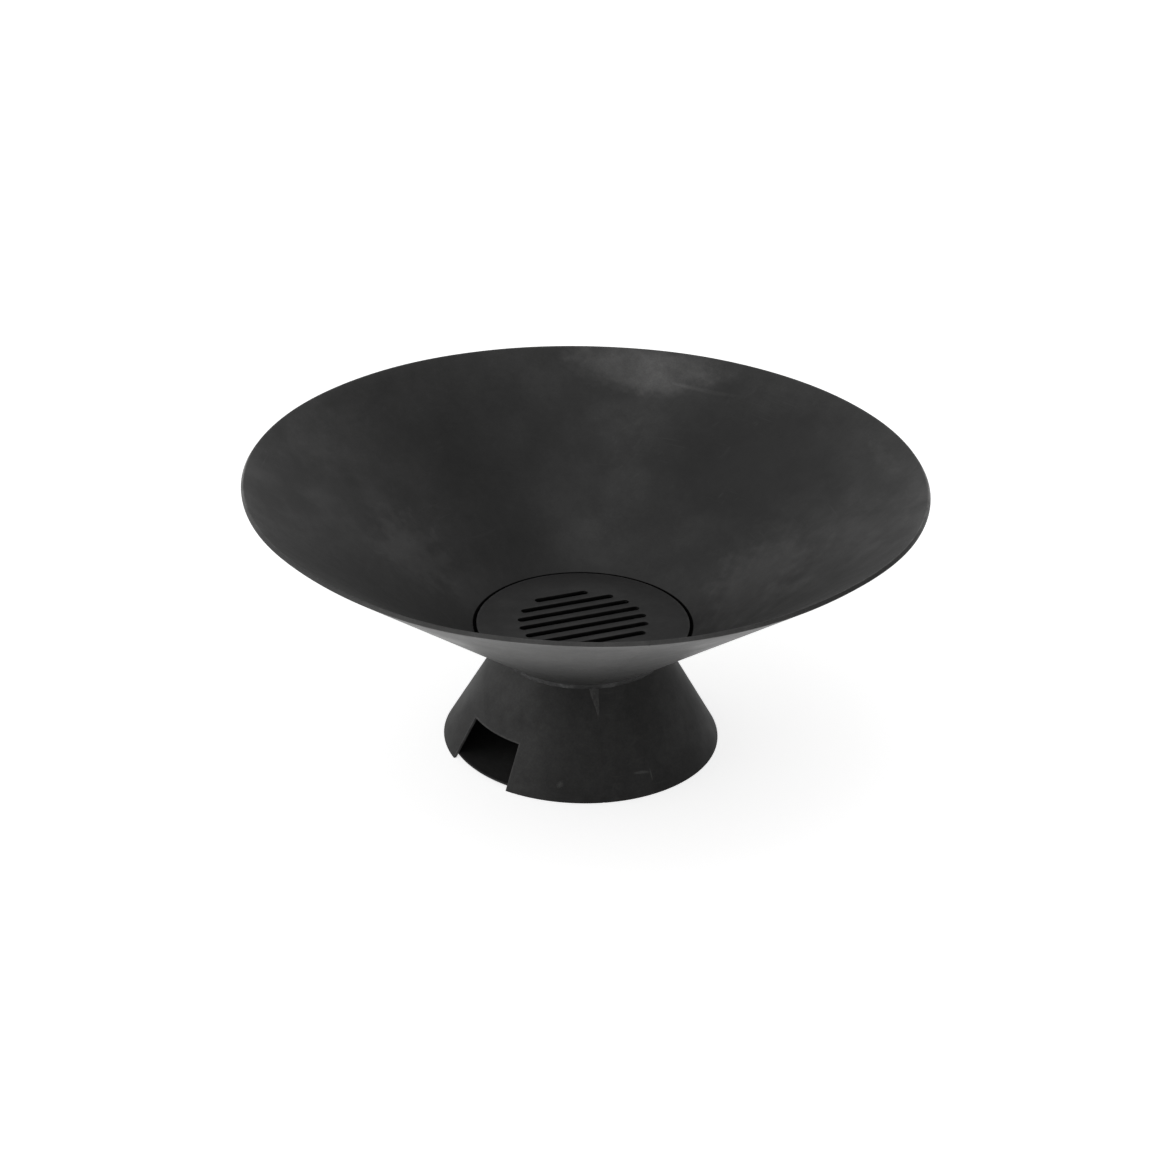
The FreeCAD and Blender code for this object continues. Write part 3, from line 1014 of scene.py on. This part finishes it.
def sky_panel(recipe, direction_socket, turn, elevation, inner, outer, light):
    """Light of one soft round panel, by the direction that is looked at."""
    middle = direction(CAMERA_AZIMUTH + turn) * math.cos(math.radians(elevation))
    middle.z = math.sin(math.radians(elevation))
    facing = recipe.add("ShaderNodeVectorMath", operation="DOT_PRODUCT")
    recipe.link(direction_socket, facing.inputs[0])
    facing.inputs[1].default_value = middle
    low, high = math.cos(math.radians(outer)), math.cos(math.radians(inner))
    return recipe.spread(facing.outputs["Value"], low, high, 0.0, light)


def light_the_studio():
    """Even soft light all round, brighter overhead, at the left and behind."""
    world = bpy.data.worlds.new("studio")
    bpy.context.scene.world = world
    world.use_nodes = True
    recipe = NodeTree(world.node_tree)
    looking = recipe.add("ShaderNodeTexCoord").outputs["Generated"]
    light = SKY_LIGHT
    for panel in SKY_PANELS.values():
        light = recipe.math("ADD", light, sky_panel(recipe, looking, *panel))
    # seen straight, the studio's walls are as pale as its floor
    seen = recipe.add("ShaderNodeLightPath").outputs["Is Camera Ray"]
    light = recipe.blend(seen, light, WALL_LIGHT)
    background = world.node_tree.nodes["Background"]
    background.inputs["Color"].default_value = (1.0, 1.0, 1.0, 1.0)
    recipe.link(light, background.inputs["Strength"])


def place_camera():
    """The camera at the fitted place, turn and lens."""
    data = bpy.data.cameras.new("camera")
    data.lens = CAMERA_LENS
    data.sensor_width = 36.0
    camera = bpy.data.objects.new("camera", data)
    turn = Matrix.Rotation(math.radians(CAMERA_AZIMUTH - CAMERA_YAW), 4, "Z")
    tip = Matrix.Rotation(math.radians(90.0 - CAMERA_PITCH), 4, "X")
    roll = Matrix.Rotation(math.radians(CAMERA_ROLL), 4, "Z")
    place = Matrix.Translation(polar(CAMERA_REACH, CAMERA_AZIMUTH, CAMERA_HEIGHT))
    camera.matrix_world = place @ turn @ tip @ roll
    bpy.context.scene.collection.objects.link(camera)
    bpy.context.scene.camera = camera


bowl_steel = mill_scale(
    "bowl_steel", shade=bowl_shade, rub_and_highlight=rim_rub, soot_and_shade=seat_soot_and_shade, **BOWL_LOOK
)
bowl_seam_metal = mill_scale(
    "bowl_seam_metal", shade=bowl_shade, rub_and_highlight=inner_bead_rub, soot_and_shade=seat_soot_and_shade, **BOWL_LOOK
)
pedestal_steel = mill_scale(
    "pedestal_steel", shade=pedestal_shade, rub_and_highlight=opening_rub, **PEDESTAL_LOOK
)
pedestal_seam_metal = mill_scale(
    "pedestal_seam_metal", shade=pedestal_shade, rub_and_highlight=wedge_rub, **PEDESTAL_LOOK
)
grate_steel = mill_scale(
    "grate_steel", 0.018, 0.48, shade=grate_painted_shade, rub_and_highlight=grate_wear_and_edge_highlight, scuffs=0.5
)
floor_steel = mill_scale("floor_steel", 0.022, 0.75, scuffs=0.0, specular=0.2)
bead_metal = weld_metal()

build_bowl(bowl_steel)
build_pedestal(pedestal_steel)
build_grate(grate_steel)
build_floor_plate(floor_steel)
build_waist_weld(bead_metal)
build_pedestal_seam(pedestal_seam_metal)
build_bowl_seam(bowl_seam_metal)
build_floor_tacks(bead_metal)

studio_floor()
light_the_studio()
place_camera()
bpy.context.scene.view_settings.view_transform = "Standard"
